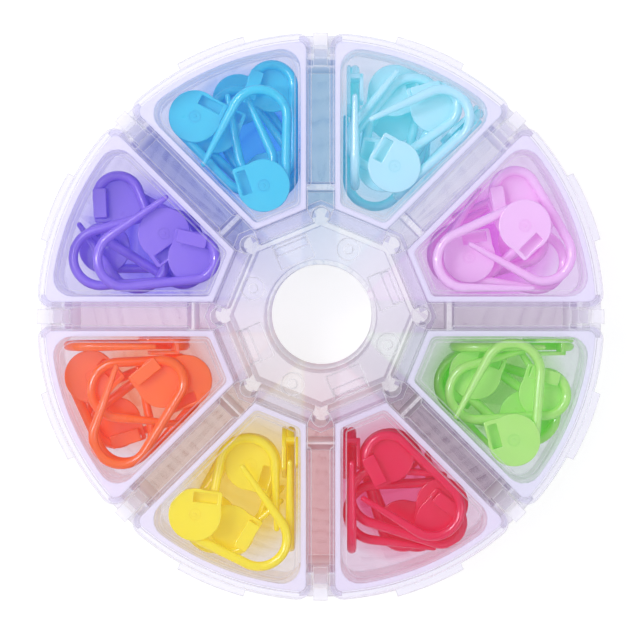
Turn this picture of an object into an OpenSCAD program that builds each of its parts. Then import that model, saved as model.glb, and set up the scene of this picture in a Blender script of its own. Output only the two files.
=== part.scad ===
// Round eight-pocket case with flip lids, filled with locking stitch markers.
// The origin is at the middle of the underside, and +Z points up.

/* [Case] */
// Outer radius of the rim that the closed lids make
rim_r = 52.5; // [50:0.5:56]
// Height of the closed case
case_h = 21; // [19:0.5:26]
// Reach of the closed lids beyond the tray's round wall
rim_over = 1.4; // [1.3:0.1:2]
// Thickness of the pocket walls
wall_t = 1; // [0.8:0.1:1.2]
// Thickness of the floor
floor_t = 1.2; // [0.8:0.1:1.4]
// Width of the channel between two neighbouring pockets
channel_w = 5.4; // [5.2:0.1:5.8]
// Distance from the axis to the inner end of a pocket
pocket_in = 20.5; // [20.2:0.1:21.5]
// Corner radius of a pocket at the rim
pocket_corner_r = 3.5; // [1:0.5:5]
// Thickness of the cross ribs in the channels
rib_t = 1.5; // [1:0.1:2]
// Distance from the axis to the inner cross rib
inner_rib_at = 23.5; // [23:0.5:30]
// Distance from the axis to the outer cross rib
outer_rib_at = 46.3; // [40:0.1:47.5]
// Depth of the cross ribs below the closed lids
rib_drop = 4; // [3.5:0.5:8]

/* [Hub] */
// Distance from the axis to a flat side of the eight-sided hub
hub_flat = 16.65; // [16:0.05:16.7]
// Thickness of the hub's deck
deck_t = 1.2; // [0.8:0.1:2]
// Radius of the hole through the middle
hole_r = 9.6; // [5:0.1:9.7]
// Thickness of the collar around the hole
collar_t = 0.9; // [0.7:0.1:1]
// Distance from the axis to the middle of a rectangular recess in the deck
recess_at = 13; // [12.9:0.1:13.1]
// Width of a rectangular recess in the deck
recess_w = 6.7; // [5:0.1:8]
// Length of a rectangular recess in the deck, outwards
recess_l = 4.6; // [4:0.1:4.7]
// Depth of a rectangular recess in the deck
recess_depth = 0.5; // [0.2:0.1:0.7]
// Distance from the axis to the middle of the slot in a recess
slot_at = 14; // [13.5:0.1:14.4]
// Width of the slot in a recess
slot_w = 6.2; // [4:0.1:6.5]
// Length of the slot in a recess, outwards
slot_l = 1.4; // [0.8:0.1:1.8]
// Distance from the axis to a round dish in the deck
dish_at = 13.5; // [13.2:0.1:13.5]
// Radius of a round dish in the deck
dish_r = 2.1; // [1:0.1:2.2]
// Depth of a round dish in the deck
dish_depth = 0.5; // [0.2:0.1:0.7]

/* [Hinges] */
// Distance from the axis to a lid's hinge line
hinge_at = 18; // [17.9:0.05:18.1]
// Radius of a lid's hinge barrel
barrel_r = 1.1; // [0.9:0.05:1.15]
// Length of a lid's hinge barrel
barrel_l = 10.8; // [9:0.1:10.9]
// Radius of a hinge pin
pin_r = 0.6; // [0.4:0.05:0.75]
// Length of a hinge pin beyond the barrel
pin_l = 0.95; // [0.6:0.05:1.1]
// Running clearance around a hinge pin
pin_gap = 0.05; // [0.03:0.01:0.08]
// Radius of the round posts between the hinges
post_r = 1.7; // [1.6:0.05:1.8]
// Distance from the axis to the middle of a post
post_at = 18.75; // [18.6:0.05:18.9]
// Depth of the hinge trough below the closed lids
trough_drop = 2.6; // [2.5:0.1:4]
// Thickness of the trough's floor
trough_t = 1.2; // [0.8:0.1:2]

/* [Lids] */
// Thickness of a lid
lid_t = 1.2; // [1.1:0.1:1.5]
// Gap between two neighbouring lids
lid_gap = 3.34; // [3:0.02:3.5]
// Corner radius of a lid at the rim
lid_corner_r = 2.5; // [1:0.5:4]
// Thickness of a lid's side skirts
skirt_t = 0.7; // [0.5:0.1:0.8]
// Depth of a lid's skirts below the lid
skirt_h = 2; // [1:0.1:3]
// Thickness of a lid's outer skirt
rim_skirt_t = 1; // [0.7:0.1:1.1]
// Distance from the axis to where the side skirts begin
skirt_from = 23.2; // [23:0.1:30]
// Gap between two neighbouring lids at their hinged ends
neck_gap = 4.8; // [4.6:0.1:5.5]
// Depth of the locating lip under a lid
lip_h = 1; // [0.5:0.1:1.5]
// Thickness of the locating lip under a lid
lip_t = 0.7; // [0.5:0.1:1]
// Gap between the locating lip and the pocket
lip_gap = 0.35; // [0.3:0.05:0.6]
// Gap between a closed lid and the walls it rests over
seat_gap = 0.1; // [0.05:0.05:0.3]
// Reach of a thumb tab beyond the rim
tab_l = 1.2; // [0.6:0.1:2]
// Width of a thumb tab
tab_w = 13.2; // [8:0.2:16]
// Gap around a lid's skirts where they cross the round wall
skirt_gap = 0.3; // [0.2:0.02:0.32]
// Width of the fixed strip between two lids at the rim
strip_w = 2.7; // [2:0.1:2.7]
// Width of the ledge below the strip, across the corners of two lids
ledge_w = 8; // [6:0.5:10]
// Thickness of the ledge
ledge_t = 1.2; // [0.8:0.1:2]
// Step from the lids' rim back to the ledge
ledge_step = 0.3; // [0.1:0.1:0.6]

/* [Markers] */
// Diameter of a marker's wire
wire_d = 1.8; // [1.5:0.05:1.9]
// Diameter of the pin at its tip
tip_d = 1; // [0.7:0.05:1.2]
// Diameter of a marker's round head
head_d = 9.8; // [9.6:0.1:10.2]
// Thickness of a marker's head, strap included
head_t = 3.2; // [3.2:0.1:3.4]
// Thickness of the head's front plate
plate_t = 0.8; // [0.6:0.1:0.9]
// Thickness of the strap behind the head
strap_t = 0.7; // [0.5:0.1:0.8]
// Length of a marker from end to end
marker_l = 23.7; // [22.5:0.1:23.9]
// Radius of the round bend, at the middle of the wire
bend_r = 5.2; // [4.8:0.1:5.3]
// Turn of the head's square corner towards the bend
clasp_turn = 20; // [10:1:25]
// Gap around the round end that the clasp arm bends about
bend_gap = 0.08; // [0.06:0.01:0.12]
// Gap between one layer of markers and the next
layer_gap = 0.1; // [0.05:0.05:0.15]
// Room above the top marker, below a closed lid's lip
headroom = 0.16; // [0.1:0.02:0.5]

/* [Hidden] */
$fn = 48;
colours = ["pink", "light_blue", "blue", "purple", "orange", "yellow", "red", "green"];

// The eight pockets share one pattern, turned from one to the next
pocket_n = 8;
pocket_turn = 360 / pocket_n;
half_turn = pocket_turn / 2;
lid_bottom = case_h - lid_t;
wall_top = lid_bottom - seat_gap;
pocket_side = channel_w / 2 + wall_t;
tray_r = rim_r - rim_over;
pocket_r = tray_r - wall_t;
pocket_end = pocket_in - wall_t;
hinge_z = case_h - barrel_r;
case_clear = "#e6e2f4";
lid_clear = "#eceaf8";
inks = ["#f6c6f4", "#b2ecfb", "#52c8f4", "#8f74ea", "#fd7442", "#fbec44", "#e83058", "#a6e874"];

// Outline of a wedge between two rays, kept a distance from each ray, with
// rounded corners, a flat inner end and an outer end that follows a circle
fillet_steps = 5;
arc_steps = 12;
function ray_point(x, side) = [x, (x * sin(half_turn) - side) / cos(half_turn)];
function arc_points(c, r, a, b, n) = [for (i = [0 : n]) c + r * [cos(a + (b - a) * i / n), sin(a + (b - a) * i / n)]];
function outer_corner(r, side, round_r) =
    let (along = sqrt(pow(r - round_r, 2) - pow(side + round_r, 2)))
    along * [cos(half_turn), sin(half_turn)] + (side + round_r) * [sin(half_turn), -cos(half_turn)];
function upper_half(from, r, side, outer_round, inner_round) =
    let (
        c = outer_corner(r, side, outer_round),
        bearing = atan2(c[1], c[0])
    )
    concat(
        arc_points([0, 0], r, 0, bearing, arc_steps),
        arc_points(c, outer_round, bearing, 90 + half_turn, fillet_steps),
        arc_points(ray_point(from + inner_round, side + inner_round), inner_round, 90 + half_turn, 180, fillet_steps)
    );
function wedge_outline(from, r, side, outer_round, inner_round) =
    let (half = upper_half(from, r, side, outer_round, inner_round))
    concat(half, [for (i = [len(half) - 1 : -1 : 1]) [half[i][0], -half[i][1]]]);

module wedge(from, r, side, outer_round, inner_round, bottom, height) {
    translate([0, 0, bottom])
        linear_extrude(height)
            polygon(wedge_outline(from, r, side, outer_round, inner_round));
}

// Bar that lies outwards from the axis, centred on it sideways
module bar(from, to, width, bottom, top) {
    translate([from, -width / 2, bottom])
        cube([to - from, width, top - bottom]);
}

// Prism with eight flat sides, each square to a pocket's middle line
module octagon(flat, bottom, top) {
    points = [for (i = [0 : pocket_n - 1]) flat / cos(half_turn) * [cos(i * pocket_turn), sin(i * pocket_turn)]];
    translate([0, 0, bottom])
        linear_extrude(top - bottom)
            polygon(points);
}

// Tray
inner_round = 1.2;
plate_round = 0.8;
lid_side = lid_gap / 2;
ledge_z = lid_bottom - skirt_h - skirt_gap;
hub_hollow_r = hole_r + collar_t;
dimple_r = 0.85;

module hub() {
    difference() {
        octagon(hub_flat, 0, case_h);
        difference() {
            octagon(hub_flat - wall_t, -1, case_h - deck_t);
            cylinder(r = hub_hollow_r, h = 3 * case_h, center = true);
        }
        cylinder(r = hole_r, h = 3 * case_h, center = true);
        for (i = [0 : 3])
            rotate([0, 0, half_turn + i * 90]) {
                bar(recess_at - recess_l / 2, recess_at + recess_l / 2, recess_w, case_h - recess_depth, case_h + 1);
                bar(slot_at - slot_l / 2, slot_at + slot_l / 2, slot_w, case_h - 2 * deck_t, case_h + 1);
                rotate([0, 0, pocket_turn])
                    translate([dish_at, 0, case_h - dish_depth])
                        difference() {
                            cylinder(r = dish_r, h = 1);
                            cylinder(r = dimple_r, h = dish_depth / 2);
                        }
            }
    }
}

// Room around the top of a pocket for its lid's skirts
module skirt_room() {
    difference() {
        wedge(skirt_from, rim_r + 1, lid_side - skirt_gap, lid_corner_r, plate_round, ledge_z, case_h);
        wedge(pocket_in, tray_r + seat_gap, channel_w / 2, lid_corner_r - rim_skirt_t, plate_round, 0, 2 * case_h);
    }
}

module pockets_block() {
    difference() {
        cylinder(r = tray_r, h = wall_top);
        octagon(pocket_end, -1, case_h);
        for (i = [0 : pocket_n - 1]) {
            rotate([0, 0, half_turn + i * pocket_turn])
                wedge(pocket_in, pocket_r, pocket_side, pocket_corner_r, inner_round, floor_t, case_h);
            rotate([0, 0, i * pocket_turn])
                bar(pocket_end, pocket_r, channel_w, floor_t, case_h);
            rotate([0, 0, half_turn + i * pocket_turn])
                skirt_room();
        }
    }
}

module trough_floor() {
    difference() {
        octagon(pocket_end + wall_t / 2, case_h - trough_drop - trough_t, case_h - trough_drop);
        octagon(hub_flat - wall_t / 2, 0, case_h);
    }
}

module post() {
    translate([post_at, 0, 0])
        cylinder(r = post_r, h = case_h);
}

module channel_ribs() {
    bar(inner_rib_at, inner_rib_at + rib_t, channel_w + wall_t, floor_t / 2, case_h - rib_drop);
    bar(outer_rib_at, outer_rib_at + rib_t, channel_w + wall_t, floor_t / 2, case_h - rib_drop);
    bar(outer_rib_at, outer_rib_at + rib_t, strip_w, floor_t / 2, case_h);
    intersection() {
        cylinder(r = rim_r, h = case_h);
        bar(outer_rib_at, rim_r + 1, strip_w, case_h - lid_t, case_h);
    }
    bar(pocket_r - wall_t / 2, tray_r - wall_t / 2, strip_w, floor_t, case_h - lid_t / 2);
    intersection() {
        difference() {
            cylinder(r = rim_r - ledge_step, h = case_h);
            cylinder(r = tray_r - wall_t / 2, h = case_h);
        }
        bar(pocket_r, rim_r, ledge_w, ledge_z - ledge_t, ledge_z);
    }
}

module hinge_sockets() {
    socket_l = barrel_l + 2 * (pin_l + pin_gap);
    translate([hinge_at, 0, hinge_z])
        rotate([90, 0, 0])
            cylinder(r = pin_r + pin_gap, h = socket_l, center = true);
}

module tray() {
    color(case_clear)
        difference() {
            union() {
                hub();
                pockets_block();
                trough_floor();
                for (i = [0 : pocket_n - 1])
                    rotate([0, 0, i * pocket_turn]) {
                        post();
                        channel_ribs();
                    }
            }
            for (i = [0 : pocket_n - 1])
                rotate([0, 0, half_turn + i * pocket_turn])
                    hinge_sockets();
        }
}

// Lids
neck_side = neck_gap / 2;
lip_side = pocket_side + lip_gap;
lip_r = pocket_r - lip_gap;
lip_from = pocket_in + lip_gap;

module lid_plate() {
    wedge(skirt_from, rim_r, lid_side, lid_corner_r, plate_round, lid_bottom, lid_t);
    neck_from = pocket_end - 0.3;
    translate([0, 0, lid_bottom])
        linear_extrude(lid_t)
            polygon([
                [hinge_at, -barrel_l / 2],
                [neck_from, -barrel_l / 2],
                [skirt_from + 2, -ray_point(skirt_from + 2, neck_side)[1]],
                [skirt_from + 2, ray_point(skirt_from + 2, neck_side)[1]],
                [neck_from, barrel_l / 2],
                [hinge_at, barrel_l / 2]
            ]);
}

module lid_skirt() {
    difference() {
        wedge(skirt_from, rim_r, lid_side, lid_corner_r, plate_round, lid_bottom - skirt_h, skirt_h + lid_t / 2);
        wedge(pocket_in, rim_r - rim_skirt_t, lid_side + skirt_t, lid_corner_r - rim_skirt_t, plate_round,
            lid_bottom - 2 * skirt_h, 2 * skirt_h);
    }
}

module lid_lip() {
    difference() {
        wedge(lip_from, lip_r, lip_side, pocket_corner_r, inner_round, lid_bottom - lip_h, lip_h + lid_t / 2);
        wedge(lip_from + lip_t, lip_r - lip_t, lip_side + lip_t, pocket_corner_r - lip_t, inner_round - lip_t,
            lid_bottom - 2 * lip_h, 2 * lip_h);
    }
}

module lid_tab() {
    intersection() {
        translate([0, 0, lid_bottom])
            cylinder(r = rim_r + tab_l, h = lid_t);
        bar(rim_r - 2 * tab_l, rim_r + 2 * tab_l, tab_w, lid_bottom, case_h);
    }
}

module lid_barrel() {
    translate([hinge_at, 0, hinge_z])
        rotate([90, 0, 0]) {
            cylinder(r = barrel_r, h = barrel_l, center = true);
            cylinder(r = pin_r, h = barrel_l + 2 * pin_l, center = true);
        }
}

module lid(place) {
    color(lid_clear)
        rotate([0, 0, half_turn + place * pocket_turn]) {
            lid_plate();
            lid_skirt();
            lid_lip();
            lid_tab();
            lid_barrel();
        }
}

// One marker lies with its head's middle at the origin, its face up, its bend
// towards +X, its spine along the -Y side and its clasp arm along the +Y side
wire_r = wire_d / 2;
tip_r = tip_d / 2;
head_r = head_d / 2;
frame_r = head_r - wire_r;
bend_x = marker_l - head_r - bend_r - wire_r;
bend_y = bend_r - frame_r;
pivot_x = bend_x + bend_r;
plate_bottom = head_t / 2 - plate_t;
corner_l = head_r - 0.2;
window_from = -0.6;
window_to = 3.9;
window_in = 2.4;
window_out = 4.2;
strap_in = 2.1;
strap_out = 4.6;
post_from = -1.7;
post_to = -0.7;
frame_start = 130;
tip_steps = 5;

// Straight runs are a little thinner than the bends, and reach a little into them
weld = 0.03;
weld_l = 0.3;
run_r = wire_r - weld;
knuckle_h = wire_r;

// Where the closed pin's tip lies, behind the window
seat_x = 1.8;
seat_y = 3.3;
seat = [
    seat_x * cos(clasp_turn) - seat_y * sin(clasp_turn),
    seat_x * sin(clasp_turn) + seat_y * cos(clasp_turn)
];
reach = norm(seat - [pivot_x, bend_y]);

// The pin is as long as lets its tip reach the window when the clasp shuts
function pin_length(open) =
    sqrt(pow(bend_r * cos(open), 2) - 2 * bend_r * bend_r * (1 - sin(open)) + reach * reach) - bend_r * cos(open);

// Part of the round bend, between two bearings from the bend's middle
module bend_arc(from, to) {
    translate([bend_x, bend_y, 0])
        rotate([0, 0, from])
            rotate_extrude(angle = to - from)
                translate([bend_r, 0])
                    circle(r = wire_r);
}

// Tapered pin with a round tip, which starts a little inside the bend
module pin(open) {
    straight_l = pin_length(open);
    translate([bend_x + bend_r * sin(open), bend_y + bend_r * cos(open), 0])
        rotate([0, -90, -open])
            rotate_extrude()
                polygon(concat(
                    [[0, -weld_l], [run_r, -weld_l]],
                    arc_points([0, straight_l], tip_r, 0, 90, tip_steps)
                ));
}

module head() {
    difference() {
        union() {
            translate([0, 0, plate_bottom]) {
                cylinder(r = head_r, h = plate_t);
                rotate([0, 0, clasp_turn])
                    cube([corner_l, corner_l, plate_t]);
            }
            rotate([0, 0, frame_start])
                rotate_extrude(angle = 270 - frame_start)
                    translate([frame_r, 0])
                        circle(r = wire_r);
            rotate([0, 0, clasp_turn]) {
                translate([post_from, strap_in, -head_t / 2])
                    cube([window_to - post_from, strap_out - strap_in, strap_t]);
                translate([post_from, strap_in, -head_t / 2])
                    cube([post_to - post_from, strap_out - strap_in, head_t - plate_t / 2]);
            }
        }
        rotate([0, 0, clasp_turn])
            translate([window_from, window_in, plate_bottom - plate_t])
                cube([window_to - window_from, window_out - window_in, 3 * plate_t]);
    }
}

// Round end on the axis that the clasp arm bends about
module knuckle(r, h) {
    translate([pivot_x, bend_y, -h / 2])
        cylinder(r = r, h = h);
}

module spine() {
    translate([-weld_l, -frame_r, 0])
        rotate([0, 90, 0])
            cylinder(r = run_r, h = bend_x + 2 * weld_l);
}

// The markers lie in layers, and they are as large as a pocket has room for: the
// rows below suit a pocket pile_l long, pile_h deep, with side walls that would
// meet pile_point from its outer wall
layer_h = (head_t + wire_d) / 2 + layer_gap;
top_layer = 5.4;
pile_h = 2 * layer_gap + top_layer * layer_h + head_t + headroom;
pile_l = 29.6;
pile_point = 40.43;
pile_fit = round(1000 * min(
    (pocket_r - pocket_in) / pile_l,
    (pocket_r - pocket_side / sin(half_turn)) / pile_point,
    (lid_bottom - lip_h - floor_t) / pile_h
)) / 1000;
function layer_z(layer) = floor_t + pile_fit * (head_t / 2 + 2 * layer_gap + layer * layer_h);

// A row of a pile says where one marker lies: how far in from the pocket's outer
// wall, how far to the side of its middle line, its layer above the floor, its
// heading from head to bend, its roll about its length and how far its clasp arm
// stands open

piles = [
    // Pink
    [
        [8.6, 1, top_layer, -178, 0, 25],
        [7.6, 7.5, 4.1, -82, 180, 30],
        [20.1, -0.5, 2.8, -32, 0, 20],
        [8.1, 3, 1.8, -158, 180, 12],
        [20.1, -0.5, 0.8, 8, 0, 8],
        [9, -2, 0, 174, 180, 12]
    ],
    // Light blue
    [
        [19.1, -2, top_layer, -27, 0, 16],
        [5.6, -5, 4.1, 147, 180, 16],
        [8.6, 10.3, 3, -157.5, 90, 4],
        [7.1, -11.5, 2, 157.5, 90, 4],
        [19.6, 0, 3.1, -9, 0, 6],
        [5.6, 3.5, 2.1, -165, 0, 8],
        [19.1, 0, 1, 13, 180, 8],
        [9.6, 1.5, 0, -170, 180, 14]
    ],
    // Blue
    [
        [23.6, 0.5, top_layer, -24, 0, 26],
        [6.6, 7.5, 4.1, -160, 0, 18],
        [6.6, -8, 3.1, 158, 180, 10],
        [9.6, 5, 2.1, -156, 0, 10],
        [22.1, -0.5, 1.05, 8, 180, 6],
        [6.1, -1, 0, 178, 0, 12]
    ],
    // Purple
    [
        [24.1, -1, top_layer, 29, 180, 28],
        [17.1, -3, 4.1, 38, 0, 10],
        [6.1, -6, 2.8, 135, 180, 12],
        [22.1, 1, 1.8, -10, 180, 6],
        [7.1, 4, 0.8, -157, 0, 12]
    ],
    // Orange
    [
        [18.1, 0, top_layer, 36, 180, 12],
        [22.1, 1.6, 4.1, -20, 0, 8],
        [20.6, -6.1, 3, -22.5, 90, 4],
        [5.6, -6, 2.8, 92, 0, 12],
        [6.1, 4, 1.6, -165, 180, 10],
        [19.6, 0.5, 0.5, 0, 0, 8]
    ],
    // Yellow
    [
        [7.1, -7.5, top_layer, 86, 0, 28],
        [6.1, -0.5, 4.1, -168, 180, 12],
        [23.9, 4.6, 1.85, 22.5, 90, 4],
        [19.1, -1.5, 2.8, -15, 0, 12],
        [6.1, -4.5, 1.7, 173, 180, 10],
        [19.6, -1.5, 0.4, -10, 0, 6]
    ],
    // Red
    [
        [21.1, 1.5, top_layer, 24, 180, 12],
        [5.6, 6, 4.1, -130, 180, 12],
        [23.9, -4.6, 3, -22.5, 90, 4],
        [8.6, 7.5, 2.8, -110, 0, 10],
        [7.1, -1, 1.6, 174, 180, 10],
        [19.6, 0.5, 0.4, 0, 0, 8]
    ],
    // Green
    [
        [8.1, -7.5, top_layer, 108, 0, 24],
        [5.6, 2.5, 4.1, -154, 180, 12],
        [8.1, 11, 1.85, -157.5, 90, 4],
        [19.1, 1, 2.8, -20, 0, 14],
        [7.1, -3, 1.6, 168, 0, 10],
        [20.6, -0.5, 0.4, 5, 180, 8]
    ]
];

module place_marker(row) {
    translate([pocket_r - pile_fit * row[0], pile_fit * row[1], layer_z(row[2])])
        rotate([0, 0, row[3]])
            rotate([row[4], 0, 0])
                scale(pile_fit)
                    children();
}

module in_pocket(place) {
    color(inks[place])
        rotate([0, 0, half_turn + place * pocket_turn])
            children();
}

module marker(place, number) {
    row = piles[place][number];
    in_pocket(place)
        place_marker(row) {
            head();
            spine();
            bend_arc(-90, 90 - row[5]);
            pin(row[5]);
        }
}

// The top marker's arm is a piece of its own, joined at the middle of the bend
module marker_body(place) {
    in_pocket(place)
        place_marker(piles[place][0]) {
            head();
            spine();
            bend_arc(-90, 0);
            knuckle(run_r, knuckle_h);
        }
}

module marker_clasp(place) {
    row = piles[place][0];
    in_pocket(place)
        place_marker(row)
            difference() {
                union() {
                    bend_arc(0, 90 - row[5]);
                    pin(row[5]);
                }
                knuckle(wire_r + bend_gap, 3 * wire_r);
            }
}

tray();
for (place = [0 : pocket_n - 1]) {
    ink = colours[place];
    lid(place);
    marker_body(place);
    marker_clasp(place);
    for (number = [1 : 3])
        marker(place, number);
    for (number = [4 : len(piles[place]) - 1])
        marker(place, number);
}
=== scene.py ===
"""Locking stitch markers in a round frosted case with eight flip lids, seen from above.

The case and its lids come with the frame and get their plastic here. The markers are made
again with smoother wires and rounded edges, in the places that the part's source gives them.
"""

import math

import bmesh
import bpy
import numpy as np
from mathutils import Matrix, Vector


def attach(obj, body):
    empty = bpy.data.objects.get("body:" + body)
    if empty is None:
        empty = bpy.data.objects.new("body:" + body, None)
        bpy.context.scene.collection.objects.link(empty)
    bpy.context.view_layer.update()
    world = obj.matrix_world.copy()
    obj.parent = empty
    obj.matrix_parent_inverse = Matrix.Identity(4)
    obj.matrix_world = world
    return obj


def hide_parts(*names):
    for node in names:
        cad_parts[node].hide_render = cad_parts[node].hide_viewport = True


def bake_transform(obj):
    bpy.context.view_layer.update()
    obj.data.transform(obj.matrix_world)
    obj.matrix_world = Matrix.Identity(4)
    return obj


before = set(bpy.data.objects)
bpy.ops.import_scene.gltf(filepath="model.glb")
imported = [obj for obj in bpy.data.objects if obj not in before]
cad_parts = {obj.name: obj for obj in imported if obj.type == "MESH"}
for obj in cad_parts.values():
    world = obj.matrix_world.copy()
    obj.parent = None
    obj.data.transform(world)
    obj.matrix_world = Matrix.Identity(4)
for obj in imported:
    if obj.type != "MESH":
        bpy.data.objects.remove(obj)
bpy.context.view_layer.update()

# Sizes are in millimetres and angles in degrees, as in the part's source. A marker's own x
# runs from the middle of its head along the spine to the bend.
MM = 0.001

# Wire: it starts on the head's rim, and the springy arm starts on the bend
WIRE_R = 0.9
TIP_R = 0.5
BEND_R = 5.2
MARKER_L = 23.7
WIRE_START = 130
ARM_START = -60
WIRE_SIDES = 20

# Head: a round plate with a square corner and a window, and behind it a strap on a post.
# Boxes are from and to along the head, then from and to across it, before the clasp's turn;
# the post ends inside the strap and inside the plate.
HEAD_R = 4.9
HEAD_T = 3.2
PLATE_T = 0.8
STRAP_T = 0.7
CORNER = HEAD_R - 0.2
CORNER_R = 0.5
CLASP_TURN = 20
WINDOW = (-0.6, 3.9, 2.4, 4.2)
STRAP = (-1.7, 3.9, 2.1, 4.6)
CATCH_POST = (-1.7, -0.7, 2.1, 4.6)
WINDOW_CORNER_R = 0.15
STRAP_CORNER_R = 0.3
CATCH_POST_CORNER_R = 0.2
IN_STRAP = 0.2
IN_PLATE = 0.3
SEAT = (1.8, 3.3)
PLATE_EDGE = 0.16
POST_EDGE = 0.1

# Moulding marks on the plate: a ring and the gate, with how far they stand proud
RING_OUT = 1.15
RING_IN = 0.95
RING_PROUD = 0.07
RING_EDGE = 0.03
GATE_R = 0.35
GATE_PROUD = 0.09
GATE_EDGE = 0.05
MARK_DEPTH = 0.2

# Middle lines of the wire: around the head, and the middle of the bend
FRAME_R = HEAD_R - WIRE_R
BEND_X = MARKER_L - HEAD_R - BEND_R - WIRE_R
BEND_Y = BEND_R - FRAME_R

# Case: heights above the table and distances from the axis
CHANNELS = 8
FLOOR_T = 1.2
POCKET_R = 50.1
RIM_R = 50.2
WALL_TOP = 19.7
POST_R = 1.7
POST_AT = 18.75
POST_TOP = 20.9

# The four slots in the hub's deck, which look closed from above: thin sheets of the case's plastic
# in them stand in for the shade inside the hollow hub
SLOTS = 4
SLOT = (13.3, 14.7, -3.1, 3.1)
SLOT_CORNER_R = 0.05
SLOT_SHADE_SHEET_LOW = 19.8
SLOT_SHADE_SHEET_HIGH = 20.1
SLOT_SHADE_SHEET_EDGE = 0.02

# Layers of markers: one layer is half a head and half a wire high
LAYER_GAP = 0.1
LAYER_H = (HEAD_T + 2 * WIRE_R) / 2 + LAYER_GAP
TOP_LAYER = 5.4

COLOURS = ["pink", "light_blue", "blue", "purple", "orange", "yellow", "red", "green"]

# Each marker: distance in from the pocket's outer wall, distance to the side of its middle
# line, layer, heading, roll, clasp opening
PILES = {
    "pink": [
        (8.6, 1, TOP_LAYER, -178, 0, 25),
        (7.6, 7.5, 4.1, -82, 180, 30),
        (20.1, -0.5, 2.8, -32, 0, 20),
        (8.1, 3, 1.8, -158, 180, 12),
        (20.1, -0.5, 0.8, 8, 0, 8),
        (9, -2, 0, 174, 180, 12),
    ],
    "light_blue": [
        (19.1, -2, TOP_LAYER, -27, 0, 16),
        (5.6, -5, 4.1, 147, 180, 16),
        (8.6, 10.3, 3, -157.5, 90, 4),
        (7.1, -11.5, 2, 157.5, 90, 4),
        (19.6, 0, 3.1, -9, 0, 6),
        (5.6, 3.5, 2.1, -165, 0, 8),
        (19.1, 0, 1, 13, 180, 8),
        (9.6, 1.5, 0, -170, 180, 14),
    ],
    "blue": [
        (23.6, 0.5, TOP_LAYER, -24, 0, 26),
        (6.6, 7.5, 4.1, -160, 0, 18),
        (6.6, -8, 3.1, 158, 180, 10),
        (9.6, 5, 2.1, -156, 0, 10),
        (22.1, -0.5, 1.05, 8, 180, 6),
        (6.1, -1, 0, 178, 0, 12),
    ],
    "purple": [
        (24.1, -1, TOP_LAYER, 29, 180, 28),
        (17.1, -3, 4.1, 38, 0, 10),
        (6.1, -6, 2.8, 135, 180, 12),
        (22.1, 1, 1.8, -10, 180, 6),
        (7.1, 4, 0.8, -157, 0, 12),
    ],
    "orange": [
        (18.1, 0, TOP_LAYER, 36, 180, 12),
        (22.1, 1.6, 4.1, -20, 0, 8),
        (20.6, -6.1, 3, -22.5, 90, 4),
        (5.6, -6, 2.8, 92, 0, 12),
        (6.1, 4, 1.6, -165, 180, 10),
        (19.6, 0.5, 0.5, 0, 0, 8),
    ],
    "yellow": [
        (7.1, -7.5, TOP_LAYER, 86, 0, 28),
        (6.1, -0.5, 4.1, -168, 180, 12),
        (23.9, 4.6, 1.85, 22.5, 90, 4),
        (19.1, -1.5, 2.8, -15, 0, 12),
        (6.1, -4.5, 1.7, 173, 180, 10),
        (19.6, -1.5, 0.4, -10, 0, 6),
    ],
    "red": [
        (21.1, 1.5, TOP_LAYER, 24, 180, 12),
        (5.6, 6, 4.1, -130, 180, 12),
        (23.9, -4.6, 3, -22.5, 90, 4),
        (8.6, 7.5, 2.8, -110, 0, 10),
        (7.1, -1, 1.6, 174, 180, 10),
        (19.6, 0.5, 0.4, 0, 0, 8),
    ],
    "green": [
        (8.1, -7.5, TOP_LAYER, 108, 0, 24),
        (5.6, 2.5, 4.1, -154, 180, 12),
        (8.1, 11, 1.85, -157.5, 90, 4),
        (19.1, 1, 2.8, -20, 0, 14),
        (7.1, -3, 1.6, 168, 0, 10),
        (20.6, -0.5, 0.4, 5, 180, 8),
    ],
}

# Dyes of each colour's plastic: where it is thin, where it is deep, and the colour of a painted
# glow, which is also the colour of the light let through
DYES = {
    "pink": ("#FFF0F2", "#FDE6F0", "#F08CF4"),
    "light_blue": ("#E2FFF8", "#D6FEF5", "#50DEF0"),
    "blue": ("#5AF4EE", "#50E8EA", "#1C9CEC"),
    "purple": ("#AE90EC", "#A082E6", "#5C3AE0"),
    "orange": ("#FC8828", "#FA7C22", "#FF5A20"),
    "yellow": ("#F8FF3A", "#F8FC33", "#FFD400"),
    "red": ("#EF1952", "#E9144B", "#F0104C"),
    "green": ("#DAFF96", "#CEFA89", "#60DC30"),
}

# Painted light: the colour that each pocket's markers throw on its floor, in the order of COLOURS
POCKET_BOUNCE_TINTS = ["#F49CF4", "#B4F0FC", "#48B4FC", "#A090FA",
                "#FFB896", "#FFE870", "#F2709C", "#A8E084"]

# The same painted light in the channels, starting at the one between the green and the pink pocket
CHANNEL_BOUNCE_TINTS = ["#DED4E4", "#EEEDFA", "#BAD8EE", "#B4BAE8",
                 "#F0E0F2", "#E8D8D2", "#EAC2C8", "#C4B6C6"]

MILKY = "#FBFAFE"
WHITE = "#FFFFFF"


# Materials

def linear(hex_colour):
    """An sRGB hex colour as linear red, green, blue and alpha."""
    values = [int(hex_colour[i : i + 2], 16) / 255 for i in (1, 3, 5)]
    return (*(v / 12.92 if v <= 0.04045 else ((v + 0.055) / 1.055) ** 2.4 for v in values), 1.0)


def add(tree, kind, inputs=None, **attributes):
    """Adds a node. An input is given a value, an output, or a node for its first output."""
    node = tree.nodes.new(kind)
    for name, value in attributes.items():
        setattr(node, name, value)
    for name, value in (inputs or {}).items():
        if isinstance(value, bpy.types.Node):
            value = value.outputs[0]
        if isinstance(value, bpy.types.NodeSocket):
            tree.links.new(value, node.inputs[name])
        else:
            node.inputs[name].default_value = value
    return node


def new_material(name):
    material = bpy.data.materials.new(name)
    material.use_nodes = True
    material.node_tree.nodes.clear()
    return material, material.node_tree


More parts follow.
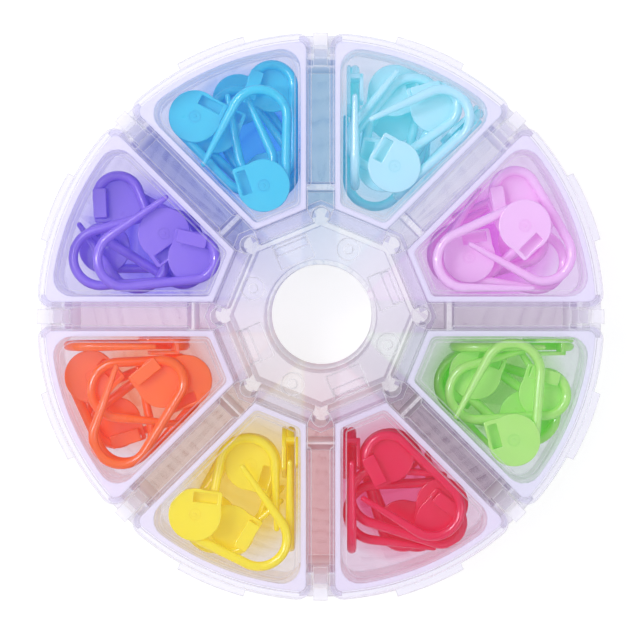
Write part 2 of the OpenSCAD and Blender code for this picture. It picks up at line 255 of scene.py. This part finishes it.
def moulded_marker_plastic(name, thin_hex, deep_hex, glow_and_translucent_hex):
    """Glossy injection-moulded polypropylene, dyed through: even colour, soft broad highlights
    and a faint flow pattern under a skin that is slightly uneven. A painted glow in a deeper colour
    lifts its shaded side."""
    material, tree = new_material(name)
    place = add(tree, "ShaderNodeTexCoord").outputs["Object"]
    # Flow marks a few millimetres long, from the gate at the head
    flow_mark = 4 * MM
    flow = add(tree, "ShaderNodeTexNoise",
               {"Vector": place, "Scale": 1 / flow_mark, "Detail": 2.0, "Roughness": 0.5})
    dye = add(tree, "ShaderNodeMix", {0: flow, 6: linear(thin_hex), 7: linear(deep_hex)},
              data_type="RGBA")
    # Orange-peel skin: half a millimetre from swell to swell, too low to see but in a highlight
    swell, swell_height = 0.5 * MM, 0.03 * MM
    peel = add(tree, "ShaderNodeTexNoise", {"Vector": place, "Scale": 1 / swell, "Detail": 1.0})
    bump = add(tree, "ShaderNodeBump", {"Height": peel, "Strength": 0.12, "Distance": swell_height})
    shine = add(tree, "ShaderNodeMapRange", {"Value": flow, "To Min": 0.24, "To Max": 0.36})
    # The polished mould leaves a skin that shines more sharply than the plastic below it,
    #     and a painted glow, standing in for light that wanders inside the dyed plastic, keeps its
    #     shaded side colourful
    plastic = add(tree, "ShaderNodeBsdfPrincipled", {
        "Base Color": dye.outputs[2], "Roughness": shine, "Normal": bump, "IOR": 1.49,
        "Subsurface Weight": 0.3, "Subsurface Scale": 1.0 * MM,
        "Subsurface Radius": (1.0, 1.0, 1.0),
        "Coat Weight": 1.0, "Coat IOR": 1.7, "Coat Roughness": 0.14,
        "Emission Color": linear(glow_and_translucent_hex), "Emission Strength": 0.2,
    })
    through = add(tree, "ShaderNodeBsdfTranslucent", {"Normal": bump, "Color": linear(glow_and_translucent_hex)})
    whole = add(tree, "ShaderNodeMixShader", {0: 0.2, 1: plastic, 2: through})
    add(tree, "ShaderNodeOutputMaterial", {"Surface": whole})
    return material


def colour_wheel(tree, turn, colours, way):
    """Colours around the axis, one each eighth of a turn."""
    ramp = add(tree, "ShaderNodeValToRGB", {"Fac": turn})
    ramp.color_ramp.interpolation = way
    first, last = ramp.color_ramp.elements
    first.color = last.color = linear(colours[0])
    for k, colour in enumerate(colours[1:], 1):
        ramp.color_ramp.elements.new(k / len(colours)).color = linear(colour)
    return ramp


def arc_length(tree, eighths, out):
    """Length along a circle around the axis, of a share of an eighth turn."""
    length = add(tree, "ShaderNodeMath", {0: eighths, 1: out}, operation="MULTIPLY")
    return add(tree, "ShaderNodeMath", {0: length, 1: 2 * math.pi / CHANNELS}, operation="MULTIPLY")


def flat_distance(tree, sideways, outwards):
    away = add(tree, "ShaderNodeCombineXYZ", {"X": sideways, "Y": outwards})
    return add(tree, "ShaderNodeVectorMath", {0: away}, operation="LENGTH").outputs["Value"]


def painted_marker_bounce(tree, height, out, turn, off_channel, sideways):
    """Painted light: the colour that the markers throw on the tray beside and below them, and how
    strongly: most at the heart of a pocket's floor, and in the channels short of the rim."""
    channel_edge, pocket_edge = 2.8 * MM, 3.8 * MM
    in_pocket = add(tree, "ShaderNodeMapRange",
                    {"Value": sideways, "From Min": channel_edge, "From Max": pocket_edge})
    channel_hue = colour_wheel(tree, turn, CHANNEL_BOUNCE_TINTS, "LINEAR")
    pocket_hue = colour_wheel(tree, turn, POCKET_BOUNCE_TINTS, "CONSTANT")
    hue = add(tree, "ShaderNodeMix", {0: in_pocket, 6: channel_hue, 7: pocket_hue},
              data_type="RGBA")

    # On a pocket's floor, around its heart
    heart_at, pile_from, pile_to = 36 * MM, 7 * MM, 15 * MM
    off_middle = add(tree, "ShaderNodeMath", {0: 0.5, 1: off_channel}, operation="SUBTRACT")
    past_heart = add(tree, "ShaderNodeMath", {0: out, 1: heart_at}, operation="SUBTRACT")
    from_heart = flat_distance(tree, arc_length(tree, off_middle, out), past_heart)
    near_pile = add(tree, "ShaderNodeMapRange", {
        "Value": from_heart, "From Min": pile_from, "From Max": pile_to,
        "To Min": 1.0, "To Max": 0.15})

    # In a channel, from the hub's deck to the rim's strip
    hub_from, hub_to, strip_from, strip_to = 12 * MM, 24 * MM, 50 * MM, 46 * MM
    past_hub = add(tree, "ShaderNodeMapRange", {
        "Value": out, "From Min": hub_from, "From Max": hub_to, "To Min": 0.5, "To Max": 1.0})
    short_of_strip = add(tree, "ShaderNodeMapRange",
                         {"Value": out, "From Min": strip_from, "From Max": strip_to})
    in_channel = add(tree, "ShaderNodeMath", {0: past_hub, 1: short_of_strip},
                     operation="MULTIPLY")
    across = add(tree, "ShaderNodeMix", {0: in_pocket, 2: in_channel, 3: near_pile},
                 data_type="FLOAT")

    # The painted light grows stronger down the walls
    wall_high, wall_low = 19 * MM, 3 * MM
    low = add(tree, "ShaderNodeMapRange", {
        "Value": height, "From Min": wall_high, "From Max": wall_low,
        "To Min": 0.35, "To Max": 1.0})
    strength = add(tree, "ShaderNodeMath", {0: across, 1: low}, operation="MULTIPLY")
    return hue.outputs[2], strength


def around_case(tree, place):
    """Where a spot of the case lies: its height, its distance out from the axis, its bearing
    in turns, and how far off the nearest channel's middle line, which is 0.5 in the middle
    of a pocket."""
    spot = add(tree, "ShaderNodeSeparateXYZ", {"Vector": place})
    bearing = add(tree, "ShaderNodeMath", {0: spot.outputs["Y"], 1: spot.outputs["X"]},
                  operation="ARCTAN2")
    turn = add(tree, "ShaderNodeMath", {0: bearing, 1: 1 / (2 * math.pi)}, operation="MULTIPLY")
    turn = add(tree, "ShaderNodeMath", {0: turn}, operation="FRACT")
    flat_place = add(tree, "ShaderNodeVectorMath", {0: place, 1: (1.0, 1.0, 0.0)},
                     operation="MULTIPLY")
    out = add(tree, "ShaderNodeVectorMath", {0: flat_place}, operation="LENGTH")
    eighths = add(tree, "ShaderNodeMath", {0: turn, 1: CHANNELS}, operation="MULTIPLY")
    off_channel = add(tree, "ShaderNodeMath", {0: eighths, 1: 0.5}, operation="PINGPONG")
    return spot.outputs["Z"], out.outputs["Value"], turn, off_channel


def wall_tops(tree, height, out):
    """The walls' narrow tops stand over their whole depth of plastic, the rim over half."""
    top = add(tree, "ShaderNodeMath", {0: height, 1: WALL_TOP * MM, 2: 0.06 * MM},
              operation="COMPARE")
    rim = add(tree, "ShaderNodeMath", {0: out, 1: RIM_R * MM}, operation="GREATER_THAN")
    rim = add(tree, "ShaderNodeMath", {0: rim, 1: 0.5}, operation="MULTIPLY")
    return add(tree, "ShaderNodeMath", {0: top, 1: rim}, operation="MAXIMUM")


def inside_post(tree, height, out, sideways):
    """One inside a hub's post, where the hinge pins and their sockets lie."""
    past_post = add(tree, "ShaderNodeMath", {0: out, 1: POST_AT * MM}, operation="SUBTRACT")
    off_post = flat_distance(tree, sideways, past_post)
    within = add(tree, "ShaderNodeMath", {0: off_post, 1: (POST_R - 0.02) * MM},
                 operation="LESS_THAN")
    below_top = add(tree, "ShaderNodeMath", {0: height, 1: POST_TOP * MM}, operation="LESS_THAN")
    return add(tree, "ShaderNodeMath", {0: within, 1: below_top}, operation="MULTIPLY")


def clear_case_plastic(name, tint_hex, clear, edge_clear, rough, is_tray):
    """Natural polypropylene, moulded thin: it lets most light through and scatters the
    rest milky white. Along its edges and where one looks along a wall the light
    has more plastic to cross, so those are less clear, and a painted glow brightens them into pale
    lines.
    The tray also carries painted coloured light from the markers that lie against it."""
    material, tree = new_material(name)
    place = add(tree, "ShaderNodeTexCoord").outputs["Object"]
    height, out, turn, off_channel = around_case(tree, place)
    sideways = arc_length(tree, off_channel, out)

    # Faint clouds from the melt's flow, about a centimetre across, and the mould's grain,
    # drawn 0.6 mm wide so that it shows
    cloud_size, grain_size, grain_depth, edge_round = 9 * MM, 0.6 * MM, 0.04 * MM, 0.3 * MM
    cloud = add(tree, "ShaderNodeTexNoise",
                {"Vector": place, "Scale": 1 / cloud_size, "Detail": 3.0, "Roughness": 0.6})
    grain = add(tree, "ShaderNodeTexNoise",
                {"Vector": place, "Scale": 1 / grain_size, "Detail": 2.0})
    rounded = add(tree, "ShaderNodeBevel", {"Radius": edge_round}, samples=4)
    bump = add(tree, "ShaderNodeBump",
               {"Height": grain, "Normal": rounded, "Strength": 0.2, "Distance": grain_depth})
    shine = add(tree, "ShaderNodeMapRange",
                {"Value": cloud, "To Min": rough, "To Max": rough + 0.12})

    # How near an edge a spot is: the rounded normal turns away from the flat one
    flat = add(tree, "ShaderNodeNewGeometry").outputs["Normal"]
    near_edge = add(tree, "ShaderNodeVectorMath", {0: rounded, 1: flat}, operation="DOT_PRODUCT")
    thick = add(tree, "ShaderNodeMapRange", {
        "Value": near_edge.outputs["Value"], "From Min": 0.995, "From Max": 0.9,
        "To Min": 0.0, "To Max": 1.0})
    if is_tray:
        thick = add(tree, "ShaderNodeMath", {0: thick, 1: wall_tops(tree, height, out)},
                    operation="MAXIMUM")
    along = add(tree, "ShaderNodeLayerWeight", {"Blend": 0.25})
    dense = add(tree, "ShaderNodeMath", {0: thick, 1: along.outputs["Facing"]},
                operation="MAXIMUM")

    # A painted glow, standing in for light scattered inside the walls, lifts them where they are in
    # shade; it is strongest along edges and wall tops
    painted_inner_glow = add(tree, "ShaderNodeMath", {0: dense, 1: 0.08, 2: 0.02},
                      operation="MULTIPLY_ADD")
    milk, tint = linear(MILKY), linear(tint_hex)
    # On the tray, the markers' coloured light is painted into the milk and the see-through tint
    if is_tray:
        hue, strength = painted_marker_bounce(tree, height, out, turn, off_channel, sideways)
        thin = add(tree, "ShaderNodeMath", {0: 1.0, 1: thick}, operation="SUBTRACT")
        painted_bounce_share = add(tree, "ShaderNodeMath", {0: strength, 1: thin}, operation="MULTIPLY")
        milk, tint = (
            add(tree, "ShaderNodeMix", {0: painted_bounce_share, 6: own, 7: hue}, data_type="RGBA").outputs[2]
            for own in (milk, tint))
    milky = add(tree, "ShaderNodeBsdfPrincipled", {
        "Base Color": milk, "Roughness": shine, "Normal": bump, "IOR": 1.49,
        "Emission Color": milk, "Emission Strength": painted_inner_glow,
    })
    through = add(tree, "ShaderNodeBsdfTranslucent", {"Color": milk, "Normal": bump})
    body = add(tree, "ShaderNodeMixShader", {0: 0.25, 1: milky, 2: through})

    # What one sees through it; a post's milky top and side hide what is inside it
    cloudy = add(tree, "ShaderNodeMapRange",
                 {"Value": cloud, "To Min": clear + 0.015, "To Max": clear - 0.015})
    see_share = add(tree, "ShaderNodeMapRange",
                    {"Value": dense, "To Min": cloudy, "To Max": edge_clear})
    see_share = add(tree, "ShaderNodeMath",
                    {0: see_share, 1: inside_post(tree, height, out, sideways)},
                    operation="MAXIMUM")
    see_through = add(tree, "ShaderNodeBsdfTransparent", {"Color": tint})
    whole = add(tree, "ShaderNodeMixShader", {0: see_share, 1: body, 2: see_through})
    add(tree, "ShaderNodeOutputMaterial", {"Surface": whole})
    return material


# Meshes

def mesh_object(name, points, faces, material):
    mesh = bpy.data.meshes.new(name)
    mesh.from_pydata([tuple(p) for p in points], [], faces)
    mesh.materials.append(material)
    mesh.update()
    thing = bpy.data.objects.new(name, mesh)
    bpy.context.scene.collection.objects.link(thing)
    return thing


def finish_normals(thing):
    """Turns each closed shell's faces outwards and keeps its crisp edges."""
    shape = bmesh.new()
    shape.from_mesh(thing.data)
    bmesh.ops.remove_doubles(shape, verts=shape.verts, dist=0.001 * MM)
    bmesh.ops.recalc_face_normals(shape, faces=shape.faces)
    shape.to_mesh(thing.data)
    shape.free()
    thing.data.set_sharp_from_angle(angle=math.radians(50))
    # Caps of flat pieces are triangles and stay flat; wires and rounded edges are quads
    smooth = [len(p.vertices) == 4 for p in thing.data.polygons]
    thing.data.polygons.foreach_set("use_smooth", smooth)


def taken_mesh(thing):
    """Vertices and faces of an object as its modifiers or curve settings shape it.
    The object itself is removed."""
    bpy.context.scene.collection.objects.link(thing)
    bpy.context.view_layer.update()
    graph = bpy.context.evaluated_depsgraph_get()
    mesh = bpy.data.meshes.new_from_object(thing.evaluated_get(graph), depsgraph=graph)
    points = np.array([v.co for v in mesh.vertices])
    faces = [tuple(p.vertices) for p in mesh.polygons]
    bpy.data.meshes.remove(mesh)
    data = thing.data
    bpy.data.objects.remove(thing)
    (bpy.data.curves if isinstance(data, bpy.types.Curve) else bpy.data.meshes).remove(data)
    return points, faces


def join(parts):
    points, faces, base = [], [], 0
    for part_points, part_faces in parts:
        points.append(part_points)
        faces += [tuple(i + base for i in face) for face in part_faces]
        base += len(part_points)
    return np.vstack(points), faces


def moved(points, matrix):
    m = np.array(matrix)
    return np.asarray(points) @ m[:3, :3].T + m[:3, 3]


def slab(outlines, low, high, edge):
    """Flat piece between two heights, with rounded edges; later outlines are holes."""
    curve = bpy.data.curves.new("slab", "CURVE")
    curve.dimensions = "2D"
    curve.fill_mode = "BOTH"
    for outline in outlines:
        spline = curve.splines.new("POLY")
        spline.points.add(len(outline) - 1)
        spline.points.foreach_set("co", [c for x, y in outline for c in (x, y, 0.0, 1.0)])
        spline.use_cyclic_u = True
    curve.offset = -edge
    curve.bevel_depth = edge
    curve.bevel_resolution = 2
    curve.extrude = (high - low) / 2 - edge
    points, faces = taken_mesh(bpy.data.objects.new("slab", curve))
    return points + np.array([0, 0, (low + high) / 2]), faces


def arc(centre, radius, start, end, steps):
    angles = np.radians(np.linspace(start, end, steps + 1))
    return [(centre[0] + radius * math.cos(a), centre[1] + radius * math.sin(a)) for a in angles]


def turned(points, degrees):
    c, s = math.cos(math.radians(degrees)), math.sin(math.radians(degrees))
    return [(x * c - y * s, x * s + y * c) for x, y in points]


def rounded_box(box, r):
    x0, x1, y0, y1 = box
    corners = ((x1 - r, y0 + r), (x1 - r, y1 - r), (x0 + r, y1 - r), (x0 + r, y0 + r))
    return [point for k, corner in enumerate(corners)
            for point in arc(corner, r, 90 * k - 90, 90 * k, 3)]


def head_parts():
    """Front plate with its window, strap behind, the post that joins them, and on the
    plate the moulding ring and the gate mark."""
    front, back = HEAD_T / 2, -HEAD_T / 2
    # The round rim goes the long way from one side of the square corner to the other
    start = math.degrees(math.atan2(CORNER, math.sqrt(HEAD_R ** 2 - CORNER ** 2)))
    rim = arc((0, 0), HEAD_R, start, 450 - start, 60)
    rim += arc((CORNER - CORNER_R, CORNER - CORNER_R), CORNER_R, 0, 90, 4)
    window = turned(rounded_box(WINDOW, WINDOW_CORNER_R), CLASP_TURN)
    strap = turned(rounded_box(STRAP, STRAP_CORNER_R), CLASP_TURN)
    post = turned(rounded_box(CATCH_POST, CATCH_POST_CORNER_R), CLASP_TURN)
    ring = [arc((0, 0), r, 0, 345, 23) for r in (RING_OUT, RING_IN)]
    gate = [arc((0, 0), GATE_R, 0, 330, 11)]
    return [
        slab([turned(rim, CLASP_TURN), window], front - PLATE_T, front, PLATE_EDGE),
        slab([strap], back, back + STRAP_T, PLATE_EDGE),
        slab([post], back + IN_STRAP, front - IN_PLATE, POST_EDGE),
        slab(ring, front - MARK_DEPTH, front + RING_PROUD, RING_EDGE),
        slab(gate, front - MARK_DEPTH, front + GATE_PROUD, GATE_EDGE),
    ]


def pin_length(opening):
    """Length of the straight pin, whose tip meets the seat when the arm turns shut."""
    reach = math.dist(turned([SEAT], CLASP_TURN)[0], (BEND_X + BEND_R, BEND_Y))
    o = math.radians(opening)
    across = BEND_R * math.cos(o)
    return math.sqrt(across ** 2 - 2 * BEND_R ** 2 * (1 - math.sin(o)) + reach ** 2) - across


def wire_path(opening, first=None, last=None):
    """Middle line of the wire with its radius, between two bearings of the bend: without
    a first it starts at the head, and without a last it ends at the pin's tip."""
    path = []
    if first is None:
        path += [(x, y, WIRE_R) for x, y in arc((0, 0), FRAME_R, WIRE_START, 270, 18)]
        path += [(x, -FRAME_R, WIRE_R) for x in np.linspace(0, BEND_X, 9)[1:-1]]
        first = -90
    bend_end = 90 - opening if last is None else last
    steps = max(6, round((bend_end - first) / 7))
    path += [(x, y, WIRE_R) for x, y in arc((BEND_X, BEND_Y), BEND_R, first, bend_end, steps)]
    if last is None:
        o = math.radians(opening)
        length = pin_length(opening)
        pin = [(share * length, WIRE_R + (TIP_R - WIRE_R) * share)
               for share in np.linspace(0, 1, 13)[1:]]
        # The tip is half a ball
        pin += [(length + TIP_R * math.sin(a), TIP_R * math.cos(a))
                for a in np.radians((25, 50, 72, 88))]
        x, y = BEND_X + BEND_R * math.sin(o), BEND_Y + BEND_R * math.cos(o)
        path += [(x - along * math.cos(o), y + along * math.sin(o), radius)
                 for along, radius in pin]
    return path


def wire_tree():
    """Sweeps a round wire along edges, with the radius that each point carries."""
    tree = bpy.data.node_groups.new("wire along its line", "GeometryNodeTree")
    tree.interface.new_socket("Geometry", in_out="INPUT", socket_type="NodeSocketGeometry")
    sides = tree.interface.new_socket("Sides", in_out="INPUT", socket_type="NodeSocketInt")
    plastic = tree.interface.new_socket("Plastic", in_out="INPUT", socket_type="NodeSocketMaterial")
    tree.interface.new_socket("Geometry", in_out="OUTPUT", socket_type="NodeSocketGeometry")
    given = add(tree, "NodeGroupInput").outputs
    line = add(tree, "GeometryNodeMeshToCurve", {"Mesh": given["Geometry"]})
    girth = add(tree, "GeometryNodeInputNamedAttribute", {"Name": "girth"}, data_type="FLOAT")
    section = add(tree, "GeometryNodeCurvePrimitiveCircle",
                  {"Resolution": given["Sides"], "Radius": 1.0})
    swept = add(tree, "GeometryNodeCurveToMesh", {
        "Curve": line, "Profile Curve": section, "Fill Caps": True,
        "Scale": girth.outputs["Attribute"]})
    whole = add(tree, "GeometryNodeRealizeInstances", {"Geometry": swept})
    dyed = add(tree, "GeometryNodeSetMaterial", {"Geometry": whole, "Material": given["Plastic"]})
    add(tree, "NodeGroupOutput", {"Geometry": dyed})
    return tree, sides.identifier, plastic.identifier


def wires(paths, material):
    """Wires along several lines of points, each point with its radius."""
    points, edges, girths = [], [], []
    for path in paths:
        edges += [(i, i + 1) for i in range(len(points), len(points) + len(path) - 1)]
        points += [p[:3] for p in path]
        girths += [p[3] for p in path]
    mesh = bpy.data.meshes.new("lines")
    mesh.from_pydata(points, edges, [])
    mesh.attributes.new("girth", "FLOAT", "POINT").data.foreach_set("value", girths)
    thing = bpy.data.objects.new("lines", mesh)
    sweep = thing.modifiers.new("wire", "NODES")
    sweep.node_group, sides, plastic = WIRE_TREE
    sweep[sides] = WIRE_SIDES
    sweep[plastic] = material
    return taken_mesh(thing)


WIRE_TREE = wire_tree()
HEAD_PARTS = head_parts()


# The object's pieces

def marker_place(colour, row):
    """Matrix from a marker's own millimetres to the case's."""
    inwards, side, layer, heading, roll, _ = row
    height = FLOOR_T + HEAD_T / 2 + 2 * LAYER_GAP + layer * LAYER_H
    bearing = 360 / CHANNELS * (COLOURS.index(colour) + 0.5)
    return (Matrix.Rotation(math.radians(bearing), 4, "Z")
            @ Matrix.Translation((POCKET_R - inwards, side, height))
            @ Matrix.Rotation(math.radians(heading), 4, "Z")
            @ Matrix.Rotation(math.radians(roll), 4, "X"))


def placed_path(path, matrix):
    xyz = moved([(x, y, 0.0) for x, y, _ in path], matrix)
    return [(*p, radius) for p, (_, _, radius) in zip(xyz, path)]


def marker_pieces(colour, material):
    """The loose pile of a pocket, its top marker and the top marker's springy arm, and
    the top marker's place."""
    rows = PILES[colour]
    places = [marker_place(colour, row) for row in rows]
    heads = [[(moved(p, m), f) for p, f in HEAD_PARTS] for m in places]
    pile_lines = [placed_path(wire_path(row[5]), m) for row, m in zip(rows[1:], places[1:])]
    top_line = placed_path(wire_path(rows[0][5], last=ARM_START), places[0])
    arm_line = placed_path(wire_path(rows[0][5], first=ARM_START), places[0])
    shapes = {
        "pile": [wires(pile_lines, material)] + [part for head in heads[1:] for part in head],
        "top_marker": [wires([top_line], material)] + heads[0],
        "clasp_arm": [wires([arm_line], material)],
    }
    pieces = []
    for name, parts in shapes.items():
        points, faces = join(parts)
        piece = mesh_object(f"{colour}_{name}", points * MM, faces, material)
        finish_normals(piece)
        pieces.append(piece)
    return *pieces, places[0]


def fill_pocket(colour):
    name = f"moulded polypropylene {colour.replace('_', ' ')}"
    pile, top, arm, place = marker_pieces(colour, moulded_marker_plastic(name, *DYES[colour]))
    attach(pile, "case")
    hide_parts(*[f"marker_{colour}_{n}" for n in (2, 3, 4)], f"markers_{colour}_low")
    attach(top, "case")
    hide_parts(f"marker_{colour}_1")
    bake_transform(arm)
    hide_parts(f"clasp_{colour}_1")


def dress_case():
    """Plastic on the tray and the lids, and thin sheets in the slots of the hub's deck, which stand
    in for the shade inside the hollow hub.
    """
    case_plastic = clear_case_plastic(
        "frosted moulded polypropylene", "#FAF9FE",
        clear=0.78, edge_clear=0.12, rough=0.3, is_tray=True)
    lid_plastic = clear_case_plastic(
        "clear moulded polypropylene", "#F9F8FE",
        clear=0.985, edge_clear=0.2, rough=0.14, is_tray=False)
    for name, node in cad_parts.items():
        if name == "tray" or name.startswith("lid_"):
            node.data.materials.clear()
            node.data.materials.append(case_plastic if name == "tray" else lid_plastic)

    bearings = [360 / SLOTS * k + 180 / CHANNELS for k in range(SLOTS)]
    outlines = [turned(rounded_box(SLOT, SLOT_CORNER_R), bearing) for bearing in bearings]
    points, faces = join([slab([outline], SLOT_SHADE_SHEET_LOW, SLOT_SHADE_SHEET_HIGH, SLOT_SHADE_SHEET_EDGE)
                          for outline in outlines])
    slot_shade_sheets = mesh_object("slot_shade_sheets", points * MM, faces, case_plastic)
    finish_normals(slot_shade_sheets)
    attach(slot_shade_sheets, "case")


# The studio: white table, soft light from above and a camera that looks straight down

def lay_table():
    """White paper. Seen by the camera or in the plastic, part of it is its own white, and
    the rest is lit, so that the object's shadow stays."""
    material, tree = new_material("white table")
    rays = add(tree, "ShaderNodeLightPath").outputs
    paper = add(tree, "ShaderNodeBsdfDiffuse", {"Color": linear("#F4F4F6")})
    shaded = add(tree, "ShaderNodeBsdfDiffuse", {"Color": linear("#8E8E8F")})
    lift = add(tree, "ShaderNodeEmission", {"Color": linear(WHITE), "Strength": 0.82})
    both = add(tree, "ShaderNodeAddShader", {0: shaded, 1: lift})
    seen = add(tree, "ShaderNodeMath", {0: rays["Is Camera Ray"], 1: rays["Is Glossy Ray"]},
               operation="MAXIMUM")
    seen = add(tree, "ShaderNodeMath", {0: seen, 1: rays["Is Transmission Ray"]},
               operation="MAXIMUM")
    whole = add(tree, "ShaderNodeMixShader", {0: seen, 1: paper, 2: both})
    add(tree, "ShaderNodeOutputMaterial", {"Surface": whole})
    half_m = 1.2
    corners = [(x * half_m, y * half_m, 0) for x, y in ((-1, -1), (1, -1), (1, 1), (-1, 1))]
    mesh_object("floor", corners, [(0, 1, 2, 3)], material)


def light_room():
    world = bpy.data.worlds.new("studio")
    bpy.context.scene.world = world
    world.use_nodes = True
    tree = world.node_tree
    tree.nodes.clear()
    rays = add(tree, "ShaderNodeLightPath").outputs
    seen = add(tree, "ShaderNodeMath", {0: rays["Is Camera Ray"], 1: rays["Is Transmission Ray"]},
               operation="MAXIMUM")
    # Mirror-like surfaces see a dim room, so only the softboxes show in them
    level = add(tree, "ShaderNodeMapRange",
                {"Value": rays["Is Glossy Ray"], "To Min": 0.52, "To Max": 0.32})
    room = add(tree, "ShaderNodeBackground", {"Color": linear("#FBFBFF"), "Strength": level})
    white = add(tree, "ShaderNodeBackground", {"Color": linear(WHITE), "Strength": 1.0})
    whole = add(tree, "ShaderNodeMixShader", {0: seen, 1: room, 2: white})
    add(tree, "ShaderNodeOutputWorld", {"Surface": whole})

    # Softboxes: place, width and length in metres, then watts; the long one beside the
    # camera draws the thin highlights along the wires
    for name, place, size, power in (
        ("key softbox", (-0.35, 0.3, 0.75), (0.2, 0.2), 2.1),
        ("long softbox", (-0.4, 0.02, 0.62), (0.04, 0.6), 1.7),
        ("fill softbox", (0.5, -0.2, 0.7), (0.4, 0.4), 0.9),
    ):
        lamp = bpy.data.lights.new(name, "AREA")
        lamp.shape = "RECTANGLE"
        lamp.size, lamp.size_y = size
        lamp.energy = power
        thing = bpy.data.objects.new(name, lamp)
        thing.location = place
        thing.rotation_euler = (-Vector(place)).to_track_quat("-Z", "Y").to_euler()
        bpy.context.scene.collection.objects.link(thing)


def set_camera():
    """A lens over the hub; the picture's middle lies a little below and left of it."""
    scene = bpy.context.scene
    eye = Vector((5.64, 11.6, 521)) * MM
    middle = Vector((-0.09, -0.63, 0)) * MM
    # The picture's width at the height of the closed lids, half a metre below the lens
    picture_width, lid_distance = 118.3 * MM, 0.5
    camera = bpy.data.cameras.new("camera")
    camera.sensor_width = 36
    camera.lens = camera.sensor_width * lid_distance / picture_width
    camera.shift_x = (middle.x - eye.x) / picture_width
    camera.shift_y = (middle.y - eye.y) / picture_width
    camera.clip_start, camera.clip_end = 0.01, 10
    scene.camera = bpy.data.objects.new("camera", camera)
    scene.camera.location = eye
    scene.collection.objects.link(scene.camera)
    scene.view_settings.view_transform = "Standard"


dress_case()
for marker_colour in COLOURS:
    fill_pocket(marker_colour)
lay_table()
light_room()
set_camera()
